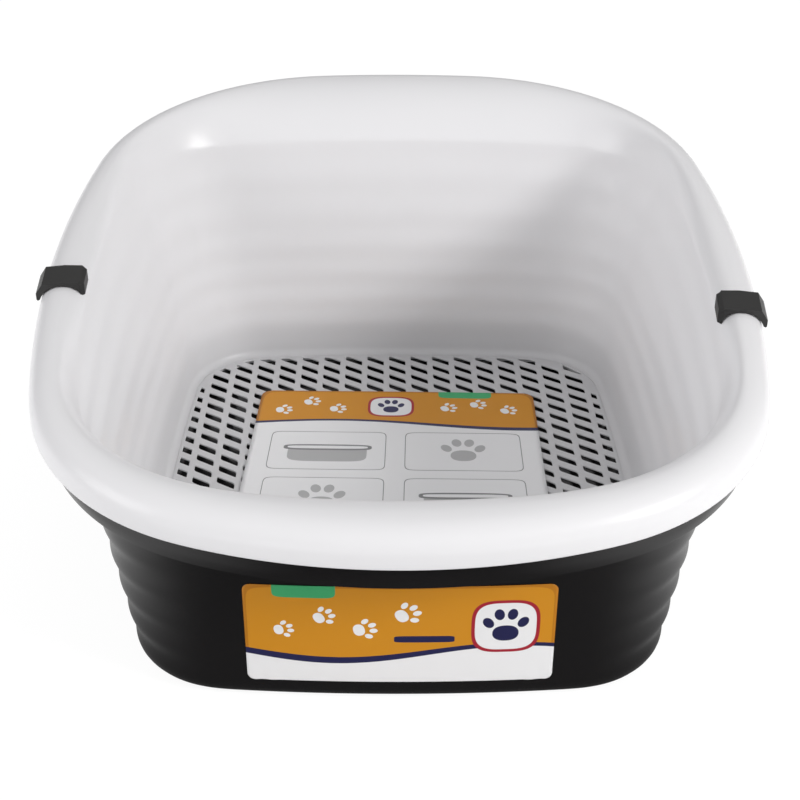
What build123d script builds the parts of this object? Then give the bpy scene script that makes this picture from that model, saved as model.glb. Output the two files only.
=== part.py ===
from build123d import *
import math
import os

# Sifting litter box: two nested pans, a sifting tray on top of them, two rim clips,
# a front label and a printed card that lies on the sifting floor.
# Millimetres, +Z up, +Y towards the raised back, front at -Y.
# The origin is on the ground, under the middle of the rim.

os.makedirs("parts", exist_ok=True)

# Overall sizes, over the rim of the sifting tray
overall_width = 386.0
overall_depth = 480.0
overall_height = 199.0
front_crown_height = 146.0

# Moulding and nesting
wall = 2.0
floor_thickness = 2.4
seat_gap = 0.5
nest_rise = 11.6
nest_inset_side = 1.2
nest_inset_end = 1.8
foot_height = 1.6
foot_width = 9.0

# Pan body: how far its foot stands in from the rim's lip, its draft and its arcs
side_step = 50.6
end_step = 69.2
side_draft = 0.158
end_draft = 0.1
pan_base_radius = 10.0
tray_base_radius = 6.0
body_back_shift = -3.8
body_side_arc = 1900.0
body_end_arc = 1000.0
body_corner = 52.0
corner_growth = 0.02

# Rim, seen from above: arcs of the lip, and of the inner edge where the wall starts
rim_side_arc = 747.0
rim_front_arc = 300.0
rim_back_arc = 720.0
rim_front_corner = 128.0
rim_back_corner = 147.0
edge_side_step = 24.8
edge_end_step = 53.4
edge_side_arc = 1525.0
edge_end_arc = 750.0
edge_front_corner = 99.0
edge_back_corner = 74.0
knee_level = 104.0

# Rim, in section: the outer roll, the lip below it and the dome inside the crown.
# The dome falls least at one place along the sides, and more towards the back and front.
roll_width = 12.0
roll_height = 11.0
lip_height = 15.4
lip_tilt_change = 0.009
dome_power = 2.5
edge_fall = 7.0
edge_fall_place = -20.0
edge_fall_blend = 60.0
back_fall_slope = 0.108
front_fall_slope = 0.15
pan_rim_inset = 7.0
pan_skirt_height = 26.2
pan_skirt_gap = 0.6
skirt_tilt_change = 0.018
edge_growth = 0.6
tray_roll_angles = (90.0, 58.0, 28.0, 0.0)
pan_roll_angles = (90.0, 40.0, 0.0)
under_roll_angles = (35.0, 90.0)
dome_shares = (0.45, 0.78)

# Soft waves round the walls
wave_height = 1.3
tray_waves = 3
pan_waves = 3

# Sifting floor
sift_thickness = 3.0
sift_margin = 2.0
column_pitch = 14.63
row_pitch = 12.98
row_margin = 8.2
slot_length = 12.6
slot_width = 4.4
slot_angle = -35.0
least_slot_share = 0.25

# Rim clips
clip_length = 19.0
clip_thickness = 2.4
clip_gap = 0.6
clip_reach = 10.5
clip_chamfer = 2.6
clip_tip_drop = 8.0
clip_tip_width = 1.0
clip_foot_angle = 18.0
clip_leg_angle = 30.0
clip_knee_angle = 55.0
left_clip_place = -28.5
right_clip_place = -53.5

# Printed label and card
label_width = 153.5
label_height = 62.9
label_middle = 45.8
label_thickness = 0.4
label_gap = 0.1
label_corner = 4.0
card_width = 185.0
card_length = 226.0
card_margin = 54.1
card_thickness = 0.8
card_gap = 0.3
card_turn = -1.3

# A rounded corner's middle point lies this share of its radius in from both faces
round_share = 1 - math.sqrt(0.5)

# Angle of the crown on the rim's roll
crown_angle = 90.0

# Levels of the stack, and the points of a ring where the front panel starts and ends
TRAY = 2
INNER = 1
OUTER = 0
front_start = 12
front_end = 14

# The body's foot, the rim's inner edge, and the middle of the rim's crown
base_half_width = overall_width / 2 - side_step
base_half_depth = overall_depth / 2 - end_step
edge_half_width = overall_width / 2 - edge_side_step
edge_half_depth = overall_depth / 2 - edge_end_step
crown_half_depth = overall_depth / 2 - roll_width
crown_tilt = (overall_height - front_crown_height) / (2 * crown_half_depth)
crown_middle = (overall_height + front_crown_height) / 2


def plan_points(half_width, front, back, arcs, centre=0.0):
    """Sixteen points of a closed outline of eight tangent arcs, seen from above.

    Each quarter is half a side arc, a corner arc and half an end arc. The corner
    arc's centre lies where two circles meet, so that it touches both others.
    Ends and middles of the arcs alternate, from the front end of the right side.
    """
    side_arc, front_arc, back_arc, front_corner, back_corner = arcs

    def quarter(depth, end_arc, corner):
        side_centre = Vector(half_width - side_arc, 0)
        end_centre = Vector(0, depth - end_arc)
        to_side = side_arc - corner
        to_end = end_arc - corner
        between = end_centre - side_centre
        span = between.length
        along = (to_side**2 - to_end**2 + span**2) / (2 * span)
        across = math.sqrt(to_side**2 - along**2)
        unit = between.normalized()
        middle = side_centre + unit * along + Vector(-unit.Y, unit.X) * across
        on_side = side_centre + (middle - side_centre).normalized() * side_arc
        on_end = end_centre + (middle - end_centre).normalized() * end_arc
        outward = ((on_side - middle) + (on_end - middle)).normalized()
        return on_side, middle + outward * corner, on_end

    side_b, corner_b, end_b = quarter(back, back_arc, back_corner)
    side_f, corner_f, end_f = quarter(front, front_arc, front_corner)
    right = [
        (side_f.X, -side_f.Y), (half_width, 0), (side_b.X, side_b.Y),
        (corner_b.X, corner_b.Y), (end_b.X, end_b.Y),
    ]
    left = [(-x, y) for x, y in reversed(right)]
    front_left = [(-corner_f.X, -corner_f.Y), (-end_f.X, -end_f.Y)]
    front_right = [(end_f.X, -end_f.Y), (corner_f.X, -corner_f.Y)]
    points = right + [(0, back)] + left + front_left + [(0, -front)] + front_right
    return [(x, y + centre) for x, y in points]


def outline(points):
    """Closed wire of eight arcs through sixteen points."""
    closed = points + points[:1]
    arcs = range(0, len(points), 2)
    return Wire([ThreePointArc(*closed[i : i + 3]).edge() for i in arcs])


def mix(low, high, share):
    """Points that lie share of the way from one ring to another."""
    return [
        tuple(a + (b - a) * share for a, b in zip(p, q)) for p, q in zip(low, high)
    ]


def body_ring(level, height, inset=0.0):
    """Level ring of a pan's or tray's body, height above its own underside."""
    half_width = base_half_width + side_draft * height
    half_width -= level * nest_inset_side + inset
    half_depth = base_half_depth + end_draft * height
    half_depth -= level * nest_inset_end + inset
    corner = body_corner + corner_growth * height - inset
    arcs = (
        body_side_arc - inset, body_end_arc - inset, body_end_arc - inset,
        corner, corner,
    )
    flat = plan_points(half_width, half_depth, half_depth, arcs, body_back_shift)
    return [(x, y, level * nest_rise + height) for x, y in flat]


def rim_plan(inset):
    """Outline of the rim seen from above, inset from the tray's lip."""
    arcs = (
        rim_side_arc - inset, rim_front_arc - inset, rim_back_arc - inset,
        rim_front_corner - inset, rim_back_corner - inset,
    )
    half_depth = overall_depth / 2 - inset
    return plan_points(overall_width / 2 - inset, half_depth, half_depth, arcs)


def rim_ring(level, inset, drop, tilt_change=0.0):
    """Ring on a plane drop below the crown of a rim."""
    middle = crown_middle - drop - (TRAY - level) * (wall + seat_gap)
    tilt = crown_tilt + tilt_change
    return [(x, y, middle + tilt * y) for x, y in rim_plan(inset)]


def knee_ring(level, inset):
    """Level ring where the wall starts to flare out towards the rim's inner edge."""
    return body_ring(level, knee_level - level * nest_rise, inset)


def dome_fall(y):
    """Fall from the crown's plane to the rim's inner edge, which bends smoothly along y."""
    way = y - edge_fall_place
    bend = math.hypot(way, edge_fall_blend) - edge_fall_blend
    even = (back_fall_slope - front_fall_slope) / 2 * way
    return edge_fall + even + (back_fall_slope + front_fall_slope) / 2 * bend


def dome_ring(level, share, growth=0.0, drop=0.0):
    """Ring on the rim's dome, share of the way from the crown to its inner edge."""
    growth += (TRAY - level) * (wall + edge_growth)
    arcs = (
        edge_side_arc, edge_end_arc, edge_end_arc,
        edge_front_corner + growth, edge_back_corner + growth,
    )
    half_width, half_depth = edge_half_width + growth, edge_half_depth + growth
    edge = plan_points(half_width, half_depth, half_depth, arcs, body_back_shift)
    middle = crown_middle - drop - (TRAY - level) * (wall + seat_gap)
    fall_share = share**dome_power
    return [
        (x, y, middle + crown_tilt * y - dome_fall(edge_y) * fall_share)
        for (x, y), (_, edge_y) in zip(mix(rim_plan(roll_width), edge, share), edge)
    ]


def edge_ring(level, growth=0.0, drop=0.0):
    """Ring at the inner edge of a rim, where its dome meets the wall."""
    return dome_ring(level, 1, growth, drop)


def lip_inset(level):
    """How far a lip stands inside the tray's lip, seen from above."""
    if level == TRAY:
        return 0.0
    return pan_rim_inset + (INNER - level) * (wall + pan_skirt_gap)


def roll_ring(level, angle, thickness=0.0):
    """Ring on the outer roll, a quarter ellipse from the lip (0) to the crown (90)."""
    width = roll_width - lip_inset(level)
    turn = math.radians(angle)
    inset = roll_width - max(width - thickness, 0) * math.cos(turn)
    height = roll_height - thickness
    return rim_ring(level, inset, roll_height - height * math.sin(turn))


def lip_ring(level, thickness=0.0):
    """Ring at the lower edge of a lip or skirt."""
    inset = lip_inset(level) + thickness
    if level == TRAY:
        return rim_ring(level, inset, lip_height, lip_tilt_change)
    return rim_ring(level, inset, pan_skirt_height, skirt_tilt_change)


def wave_rings(low, high, low_out, high_out, waves):
    """Crests and hollows in turn, between a low ring and a high one."""
    steps = 2 * waves + 1
    rings = []
    for i in range(1, steps):
        ends = (low_out, high_out) if i % 2 else (low, high)
        rings.append(mix(*ends, i / steps))
    return rings


def floor_level(level):
    """Height of the inside floor above the underside."""
    if level == TRAY:
        return sift_thickness
    return floor_thickness + (foot_height if level == OUTER else 0.0)


def base_radius(level):
    return tray_base_radius if level == TRAY else pan_base_radius


def plain_front(waves, low, high):
    """The same rings with the front panel left smooth, as the label needs it."""
    rings = []
    for i, wave in enumerate(waves):
        plain = mix(low, high, (i + 1) / (len(waves) + 1))
        front = plain[front_start : front_end + 1]
        rings.append(wave[:front_start] + front + wave[front_end + 1 :])
    return rings


def top_rings(level):
    """Rings of the upper face, from the floor over the rim to the lip."""
    floor = floor_level(level)
    radius = base_radius(level) - wall
    corner = radius * round_share
    low = body_ring(level, floor + radius, wall)
    rings = [
        body_ring(level, floor, wall + radius),
        body_ring(level, floor + corner, wall + corner),
        low,
    ]
    knee = knee_ring(level, wall)
    if level == TRAY:
        low_out = body_ring(level, floor + radius, wall - wave_height)
        knee_out = knee_ring(level, wall - wave_height)
        rings += wave_rings(low, knee, low_out, knee_out, tray_waves)
    rings += [knee, edge_ring(level)]
    rings += [dome_ring(level, share) for share in reversed(dome_shares)]
    roll_angles = tray_roll_angles if level == TRAY else pan_roll_angles
    rings += [roll_ring(level, angle) for angle in roll_angles]
    rings.append(lip_ring(level))
    return rings


def under_rings(level):
    """Rings of the lower face, from the lip back to the underside."""
    rings = [lip_ring(level, wall)]
    rings += [roll_ring(level, angle, wall) for angle in under_roll_angles]
    rings += [dome_ring(level, share, wall, wall) for share in dome_shares]
    knee = knee_ring(level, 0)
    rings += [edge_ring(level, wall, wall), knee]
    radius = base_radius(level)
    low = body_ring(level, radius)
    if level == OUTER:
        low_in = body_ring(level, radius, wave_height)
        waves = wave_rings(low, knee, low_in, knee_ring(level, wave_height), pan_waves)
        rings += reversed(plain_front(waves, low, knee))
    corner = radius * round_share
    rings += [low, body_ring(level, corner, corner), body_ring(level, 0, radius)]
    return rings


def shell(level):
    """Pan of one wall thickness: floor, wall, domed rim, outer roll and lip."""
    rings = top_rings(level) + under_rings(level)
    return Solid.make_loft([outline(r) for r in reversed(rings)], ruled=True)


def slot_outline(x, y):
    """Slanted slot whose short ends run along the columns."""
    turn = math.radians(slot_angle)
    run = math.cos(turn) * slot_length / 2
    rise = math.sin(turn) * slot_length / 2
    up = slot_width / math.cos(turn) / 2
    z = floor_top
    return [
        (x - run, y - rise - up, z), (x + run, y + rise - up, z),
        (x + run, y + rise + up, z), (x - run, y - rise + up, z),
    ]


def slotted_floor():
    """Flat plate with its field of slots, which the floor's outline cuts short."""
    edge = floor_ring
    limit = make_face(
        outline(body_ring(TRAY, sift_thickness, tray_base_radius + sift_margin))
    )
    columns = int(max(x for x, y, z in edge) / column_pitch)
    rows = int((floor_back - min(y for x, y, z in edge)) / row_pitch)
    holes = []
    for row in range(rows):
        for column in range(-columns, columns + 1):
            y = floor_back - row_margin - row * row_pitch
            corners = slot_outline(column * column_pitch, y)
            inside = [limit.is_inside(Vector(*corner)) for corner in corners]
            slot = make_face(Polyline(corners, close=True))
            if all(inside):
                holes.append(slot.face().outer_wire())
            elif any(inside):
                kept = (slot & limit).face()
                if kept is not None and kept.area > least_slot_share * slot.area:
                    holes.append(kept.outer_wire())
    plate = Face(outline(edge), holes)
    return extrude(plate, sift_thickness, dir=(0, 0, -1))


def rim_clip(side, place):
    """Clip that sits over the tray's rim: domed plate, short inner end, outer leg."""
    crown = rim_plan(roll_width)
    half_width = max(x for x, y in crown)
    side_arc = rim_side_arc - roll_width
    inward = side_arc - math.sqrt(side_arc**2 - place**2)
    origin = (side * (half_width - inward), place, crown_middle + crown_tilt * place)
    turn = math.asin(place / side_arc)
    out = Vector(side * math.cos(turn), math.sin(turn), 0)
    along = Vector(-side * math.sin(turn), math.cos(turn), crown_tilt) * -side
    frame = Plane(origin, x_dir=out, z_dir=along)

    dome_width = half_width - edge_half_width
    under = clip_gap
    over = clip_gap + clip_thickness

    def roll_point(offset, angle):
        turn = math.radians(angle)
        x = (roll_width + offset) * math.cos(turn)
        return (x, (roll_height + offset) * math.sin(turn) - roll_height)

    def dome_point(offset, reach):
        fall_share = (reach / dome_width) ** dome_power
        return (-reach, offset - dome_fall(place) * fall_share)

    tip = (roll_width + under + clip_tip_width / 2, -clip_tip_drop)
    end_low = dome_point(under, clip_reach)
    end_high = (-clip_reach, dome_point(over, clip_reach)[1] - clip_chamfer / 2)
    profile = Wire(
        [
            Line(tip, roll_point(over, clip_leg_angle)).edge(),
            ThreePointArc(
                roll_point(over, clip_leg_angle),
                roll_point(over, clip_knee_angle),
                roll_point(over, crown_angle),
            ).edge(),
            ThreePointArc(
                (0, over),
                dome_point(over, (clip_reach - clip_chamfer) / 2),
                dome_point(over, clip_reach - clip_chamfer),
            ).edge(),
            Line(dome_point(over, clip_reach - clip_chamfer), end_high).edge(),
            Line(end_high, end_low).edge(),
            ThreePointArc(end_low, dome_point(under, clip_reach / 2), (0, under)).edge(),
            ThreePointArc(
                roll_point(under, crown_angle),
                roll_point(under, clip_knee_angle),
                roll_point(under, clip_foot_angle),
            ).edge(),
            Line(roll_point(under, clip_foot_angle), tip).edge(),
        ]
    )
    return extrude(
        make_face(frame * profile), clip_length / 2, dir=along.normalized(), both=True
    )


def panel_arc(height, offset):
    """Level arc across the front panel of the outer pan, offset in front of it."""
    low = body_ring(OUTER, pan_base_radius)
    high = knee_ring(OUTER, 0)
    points = []
    for i in range(front_start, front_end + 1):
        share = (height - low[i][2]) / (high[i][2] - low[i][2])
        x, y, z = mix(low, high, share)[i]
        points.append((x, y - offset, z))
    return points


def label():
    """Thin label that follows the front panel."""
    sections = []
    for height in (label_middle - label_height, label_middle + label_height):
        back = panel_arc(height, label_gap)
        front = panel_arc(height, label_gap + label_thickness)
        sections.append(
            Wire(
                [
                    ThreePointArc(*front).edge(),
                    Line(front[2], back[2]).edge(),
                    ThreePointArc(*reversed(back)).edge(),
                    Line(back[0], front[0]).edge(),
                ]
            )
        )
    sheet = Solid.make_loft(sections, ruled=True)
    upright = label_height * math.cos(math.atan(end_draft))
    shape = Plane.XZ * RectangleRounded(label_width, upright, label_corner)
    window = extrude(Pos(0, 0, label_middle) * shape, overall_depth / 2)
    return sheet & window


floor_ring = body_ring(TRAY, sift_thickness, tray_base_radius)
floor_top = floor_ring[0][2]
floor_back = max(y for x, y, z in floor_ring)

outer_pan = shell(OUTER)
recess = make_face(outline(body_ring(OUTER, 0, pan_base_radius + foot_width)))
outer_pan -= extrude(recess, foot_height, dir=(0, 0, 1))

inner_pan = shell(INNER)

opening = make_face(outline(floor_ring))
sifting_tray = shell(TRAY) - extrude(opening, sift_thickness, dir=(0, 0, -1), both=True)
sifting_grille = slotted_floor()

left_clip = rim_clip(-1, left_clip_place)
right_clip = rim_clip(1, right_clip_place)

front_label = label()
card = Box(
    card_width, card_length, card_thickness, align=(Align.CENTER, Align.MAX, Align.MIN)
)
card_place = Pos(0, floor_back - card_margin, floor_top + card_gap)
insert_card = card_place * Rot(0, 0, card_turn) * card

pieces = {
    "outer_pan": outer_pan,
    "inner_pan": inner_pan,
    "sifting_tray": sifting_tray,
    "sifting_grille": sifting_grille,
    "left_clip": left_clip,
    "right_clip": right_clip,
    "front_label": front_label,
    "insert_card": insert_card,
}
for name, shape in pieces.items():
    export_step(shape, f"parts/{name}.step")
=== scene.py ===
"""Sifting litter box: two nested black pans, a white sifting tray, rim clips, a label and a card.

Metres, +Z up, +Y towards the raised back. Each shell is a grid: a row is a ring round the
object, and the rows follow the section of its wall from the floor over the rim and back.
"""

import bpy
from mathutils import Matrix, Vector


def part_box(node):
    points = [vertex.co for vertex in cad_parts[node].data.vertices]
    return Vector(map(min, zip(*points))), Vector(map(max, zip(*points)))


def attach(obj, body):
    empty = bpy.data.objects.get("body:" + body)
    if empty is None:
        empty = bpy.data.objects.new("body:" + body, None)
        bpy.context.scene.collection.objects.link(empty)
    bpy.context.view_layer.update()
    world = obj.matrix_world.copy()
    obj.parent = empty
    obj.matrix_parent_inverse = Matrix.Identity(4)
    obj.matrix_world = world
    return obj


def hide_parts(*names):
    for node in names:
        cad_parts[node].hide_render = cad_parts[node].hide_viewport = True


bl_info = {
    "name": "Sifting Litter Box",
    "version": (1, 0, 0),
    "blender": (4, 5, 0),
    "location": "3D View > Sidebar > Litter Box",
    "description": "Builds the surfaces and finishes of a sifting litter box",
    "category": "Object",
}

import math

import bpy
import numpy as np
from bpy.props import FloatProperty, FloatVectorProperty, IntProperty, PointerProperty
from mathutils import Matrix, Vector

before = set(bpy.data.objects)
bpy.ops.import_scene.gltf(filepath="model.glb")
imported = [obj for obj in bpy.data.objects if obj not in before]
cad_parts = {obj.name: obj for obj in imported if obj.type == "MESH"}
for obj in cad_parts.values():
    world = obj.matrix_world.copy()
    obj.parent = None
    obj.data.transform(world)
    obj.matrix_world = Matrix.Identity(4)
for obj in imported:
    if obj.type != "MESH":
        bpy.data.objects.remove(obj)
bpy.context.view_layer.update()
tray_low, tray_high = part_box("sifting_tray")

OUTER, INNER, TRAY = 0, 1, 2
BODIES = {OUTER: "outer_pan", INNER: "inner_pan", TRAY: "sifting_tray"}
FINISHES = {OUTER: "black_gloss", INNER: "black_gloss", TRAY: "pearl_white"}

# Columns of a shell's grid, and rows of its parts on the upper and the lower face
COLUMNS = 400
WAVY_ROWS, PLAIN_ROWS = 90, 24
BASE_ROWS = 8
CREASE_ROWS, UNDER_CREASE_ROWS = 7, 6
DOME_ROWS, UNDER_DOME_ROWS = 17, 11
ROLL_ROWS, UNDER_ROLL_ROWS = 11, 9

# Shares at which rings lie on the lip's two faces and on a pan's flat floor, the share of the
# dome at which its lower face bends into the wall, and the lip's rounding as a share of its wall
LIP_SHARES, UNDER_LIP_SHARE = (0.4, 0.75), 0.5
CENTRE_SHARES = (0.3, 0.6, 0.9)
UNDER_DOME_SHARE = 0.93
LIP_ROUND_SHARE = 0.3

# Steps of an outline before its columns are spread, steps of an arc and of a rounded corner, and
# the length over which an outline is softened
EVEN_STEPS = 2048
ARC_STEPS = 160
CORNER_STEPS = 4
SOFTENING = 0.006

# Heights over which the painted shade at the tray's foot fades: darkest at the first, gone at the
# second
PAINTED_SHADE_HEIGHTS = (0.026, 0.065)

# Each print's coat: scale of its ripple, least and greatest roughness
COATS = {"label_print": (60, 0.3, 0.42), "card_print": (14, 0.42, 0.56)}
COAT_HEIGHT, COAT_STRENGTH = 0.0002, 0.35

# Soft edges of a spot, as a share of its size, and of a swing, in millimetres
SPOT_BLUR_SHARE, SWING_BLUR = 0.03, 0.12

# A paw, in shares of its size: its pad's place, half size and power, and each toe's place and lean
PAD_PLACE, PAD_HALF, PAD_POWER = (0, -0.38), (0.62, 0.48), 2.3
TOE_HALF = (0.24, 0.34)
TOES = ((-0.82, 0.28, 30), (-0.31, 0.78, 9), (0.31, 0.78, -9), (0.82, 0.28, -30))

# The prints' shapes, in millimetres from the middle of the sheet. A spot has a centre, a half
# size and a power, and a swing has a level, a half height, a length and a start. A badge has a
# centre, the half sizes of its border and of its white, and the size of its paw. The trail's
# paws have a first size, a growth from paw to paw, and two leans that take turns.
BADGE_POWER, BADGE_PAW_DROP = 3.4, 0.4
LABEL = {
    "field": ((0, 0), (75.2, 30.2), 14),
    "navy_swing": (-10.2, 4.6, 170, -0.4),
    "white_swing": (-13.6, 5.4, 176, -0.4),
    "tab": ((-47, 31), (15.5, 7.2), 7),
    "badge": ((52, 5), (17, 17), (15.2, 15.2), 10.5),
    "trail": ((-58, 3), (-38, 12), (-18, 4), (3, 14)),
    "trail_size": (5.0, 0.5),
    "trail_leans": (-78, -62),
}
LABEL_BAR = ((12, -2.5), (15, 2.1), 7)
CARD = {
    "field": ((0, 0), (91, 111.5), 24),
    "navy_swing": (72.5, 4.2, 230, 2.6),
    "white_swing": (69.5, 5.0, 236, 2.6),
    "tab": ((46, 113), (18, 8), 7),
    "badge": ((-4, 93), (15.5, 13), (13.8, 11.4), 8.2),
    "trail": ((-76, 88), (-58, 99), (-40, 90), (34, 92), (54, 97), (74, 90)),
    "trail_size": (5.6, 0.0),
    "trail_leans": (-80, -66),
}
CARD_ROWS, CARD_COLUMNS = (38, -16, -70), (-43, 43)

# Spots of the card's pictures: colour, height above the picture's middle, half size and power
PICTURE_FRAME = (("pencil", 0, (37, 22.5), 14), ("paper", 0, (36.5, 22), 14))
PICTURE_PAN = (
    ("pencil_light", -3, (25, 10), 5), ("pencil", 3.5, (28, 3.4), 4), ("paper", 3.7, (25.5, 1.7), 4),
)
PICTURE_PAW = 13

# The floor: strength of the glow that the camera sees, its share of the floor's look, and the
# grey of the rest. Then what reflections see: the ways from the middle line between which the
# glow grows, and its strengths there.
FLOOR_GLOW, FLOOR_GLOW_SHARE = 1.14, 0.8
FLOOR_GREY = (0.82, 0.82, 0.82, 1)
FLOOR_MIRROR = (0.1, 0.3, 0.1, 1.1)

# The sky: heights between which it dims, and its share of strength at the top. Then the same for
# reflections, with the strengths there.
SKY_HEIGHTS, ZENITH_SHARE = (0.25, 0.95), 0.66
SKY_MIRROR = (0.35, 0.9, 0.12, 0.8)

# Each lamp's name, place, width and colour. The stage holds its power under the same name.
LAMPS = (
    ("key", (1.62, -1.10, 1.10), 0.5, (1.0, 0.99, 0.98)),
    ("left", (-1.9, -0.8, 0.85), 1.1, (1.0, 0.99, 1.0)),
    ("front", (0.1, -2.0, 1.5), 1.4, (1.0, 1.0, 1.0)),
)
LAMP_TARGET = (0, 0, 0.1)

# Width of the camera's sensor in millimetres, and how far the camera sees
SENSOR_WIDTH = 36
CAMERA_REACH = 20

QUARTER_TURN = math.pi / 2
SHARP_ANGLE = math.radians(38)
BEVEL_ANGLE = math.radians(35)


def size(name, text, default):
    """Length property in metres."""
    return FloatProperty(name=name, description=text, default=default, unit="LENGTH", precision=5)


def share(name, text, default):
    """Plain number property, such as a slope, a share or a power."""
    return FloatProperty(name=name, description=text, default=default, precision=4)


def shade(name, text, default):
    """Colour property, as linear red, green and blue."""
    return FloatVectorProperty(
        name=name, description=text, default=default, size=3, subtype="COLOR", min=0, max=1
    )


class RimSizes(bpy.types.PropertyGroup):
    width: size("Width", "Width over the tray's lip", tray_high.x - tray_low.x)
    depth: size("Depth", "Depth over the tray's lip", tray_high.y - tray_low.y)
    back: size("Back height", "Height of the crown at the back", tray_high.z)
    front: size("Front height", "Height of the crown at the front", 0.146)
    roll_width: size("Roll width", "From the lip to the crown", 0.012)
    roll_height: size("Roll height", "Drop of the outer roll", 0.011)
    lip: size("Lip drop", "From the crown to the lip's lower edge", 0.0154)
    lip_tilt: share("Lip tilt", "How much steeper the lip's edge runs than the crown", 0.009)
    dome_power: share("Dome power", "How late the dome falls on its way inward", 2.5)
    fall: size("Fall", "Least fall from the crown's plane to the rim's inner edge", 0.007)
    fall_place: size("Fall place", "Place along the depth where the fall is least", -0.020)
    fall_blend: size("Fall blend", "Length over which the fall's two slopes meet", 0.060)
    back_fall: share("Back fall", "Slope of the fall towards the back", 0.108)
    front_fall: share("Front fall", "Slope of the fall towards the front", 0.15)
    side_arc: size("Side arc", "Radius of the side, seen from above", 0.747)
    front_arc: size("Front arc", "Radius of the front, seen from above", 0.300)
    back_arc: size("Back arc", "Radius of the back, seen from above", 0.720)
    front_corner: size("Front corner", "Radius of the front corners", 0.128)
    back_corner: size("Back corner", "Radius of the back corners", 0.147)
    pan_inset: size("Pan inset", "How far the upper pan's skirt stands inside the lip", 0.007)
    skirt: size("Skirt drop", "From a pan's crown to its skirt's edge", 0.0262)
    skirt_gap: size("Skirt gap", "Gap between the two pans' skirts", 0.0006)
    skirt_tilt: share("Skirt tilt", "How much steeper the skirt's edge runs", 0.018)


class BodySizes(bpy.types.PropertyGroup):
    side_step: size("Side step", "How far the foot stands in from the lip, at a side", 0.0506)
    end_step: size("End step", "How far the foot stands in from the lip, at an end", 0.0692)
    side_draft: share("Side draft", "Slope of the side walls", 0.158)
    end_draft: share("End draft", "Slope of the end walls", 0.1)
    wall: size("Wall", "Wall thickness", 0.002)
    floor: size("Floor", "Floor thickness of a pan", 0.0024)
    foot_height: size("Foot height", "Depth of the recess inside the foot", 0.0016)
    foot_width: size("Foot width", "Width of the ring that the pan stands on", 0.009)
    seat_gap: size("Seat gap", "Gap between nested rims", 0.0005)
    nest_rise: size("Nest rise", "Rise of each nested shell", 0.0116)
    side_inset: size("Nest inset, side", "How much narrower each nested shell is", 0.0012)
    end_inset: size("Nest inset, end", "How much shorter each nested shell is", 0.0018)
    pan_radius: size("Pan radius", "Rounding between a pan's wall and floor", 0.010)
    tray_radius: size("Tray radius", "Rounding between the tray's wall and floor", 0.006)
    shift: size("Shift", "How far the body's middle stands from the rim's", -0.0038)
    side_arc: size("Side arc", "Radius of a side, seen from above", 1.9)
    end_arc: size("End arc", "Radius of an end, seen from above", 1.0)
    corner: size("Corner", "Radius of a corner, seen from above", 0.052)
    corner_growth: share("Corner growth", "Growth of the corner with height", 0.02)
    edge_side_step: size("Edge side step", "From the lip to the wall's top, at a side", 0.0248)
    edge_end_step: size("Edge end step", "From the lip to the wall's top, at an end", 0.0534)
    edge_side_arc: size("Edge side arc", "Side radius where the wall meets the rim", 1.525)
    edge_end_arc: size("Edge end arc", "End radius where the wall meets the rim", 0.750)
    edge_front_corner: size("Edge front corner", "Front corner of the wall's top", 0.099)
    edge_back_corner: size("Edge back corner", "Back corner of the wall's top", 0.074)
    knee: size("Knee", "Height at which the walls start to flare out", 0.104)
    knee_blend: share("Knee blend", "Share of the wall over which the flare starts", 0.12)
    edge_growth: size("Edge growth", "Extra width of each lower shell's edge", 0.0006)
    edge_round: size("Edge round", "Rounding where the wall meets the rim", 0.0014)


class WaveSizes(bpy.types.PropertyGroup):
    tray_depth: size("Tray depth", "Depth of a wave in the tray's wall", 0.00045)
    pan_depth: size("Pan depth", "Depth of a wave in the pan's wall", 0.0013)
    tray_count: IntProperty(name="Tray waves", description="Waves up the tray's wall", default=7)
    pan_count: IntProperty(name="Pan waves", description="Waves up the pan's wall", default=5)
    front_half: size("Front half", "Half the width of the smooth front panel", 0.095)
    front_fade: size("Front fade", "Width over which the waves die out", 0.034)


class SlotSizes(bpy.types.PropertyGroup):
    plate: size("Plate", "From the tray's underside to its floor's top", 0.003)
    skin: size("Skin", "Thickness of the sifting floor between its slots", 0.0012)
    margin: size("Margin", "Least way from a slot to the floor's edge", 0.002)
    column_pitch: size("Column pitch", "From one column of slots to the next", 0.01463)
    row_pitch: size("Row pitch", "From one slot of a column to the next", 0.01298)
    row_margin: size("Row margin", "From the floor's back edge to the first row", 0.0082)
    length: size("Length", "Length of a slot along its slant", 0.0134)
    width: size("Width", "Width of a slot", 0.0050)
    angle: FloatProperty(
        name="Angle", description="Slant of the slots", default=math.radians(-35), subtype="ANGLE"
    )
    least: share("Least share", "A cut slot with less than this share is left out", 0.25)
    tip_round: size("Tip round", "Rounding of a slot's sharp corners", 0.0007)
    side_round: size("Side round", "Rounding of a slot's blunt corners", 0.0022)
    edge: size("Edge", "Bevel along the slots", 0.0003)


class ClipSizes(bpy.types.PropertyGroup):
    length: size("Length", "Length of a clip along the rim", 0.019)
    thickness: size("Thickness", "Thickness of a clip", 0.0024)
    gap: size("Gap", "Gap between a clip and the rim", 0.0006)
    reach: size("Reach", "How far a clip reaches inward from the crown", 0.0120)
    bevel: size("Bevel", "Length of the sloping inner end", 0.0026)
    corner: size("Corner", "Cut of the inner end's corners", 0.0022)
    tip_drop: size("Tip drop", "From the crown to the outer leg's tip", 0.008)
    tip_width: size("Tip width", "Width of the outer leg's tip", 0.001)
    left: size("Left place", "Place of the left clip along the depth", -0.0285)
    right: size("Right place", "Place of the right clip along the depth", -0.0535)
    edge: size("Edge", "Rounding of the clip's edges", 0.0005)


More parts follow.
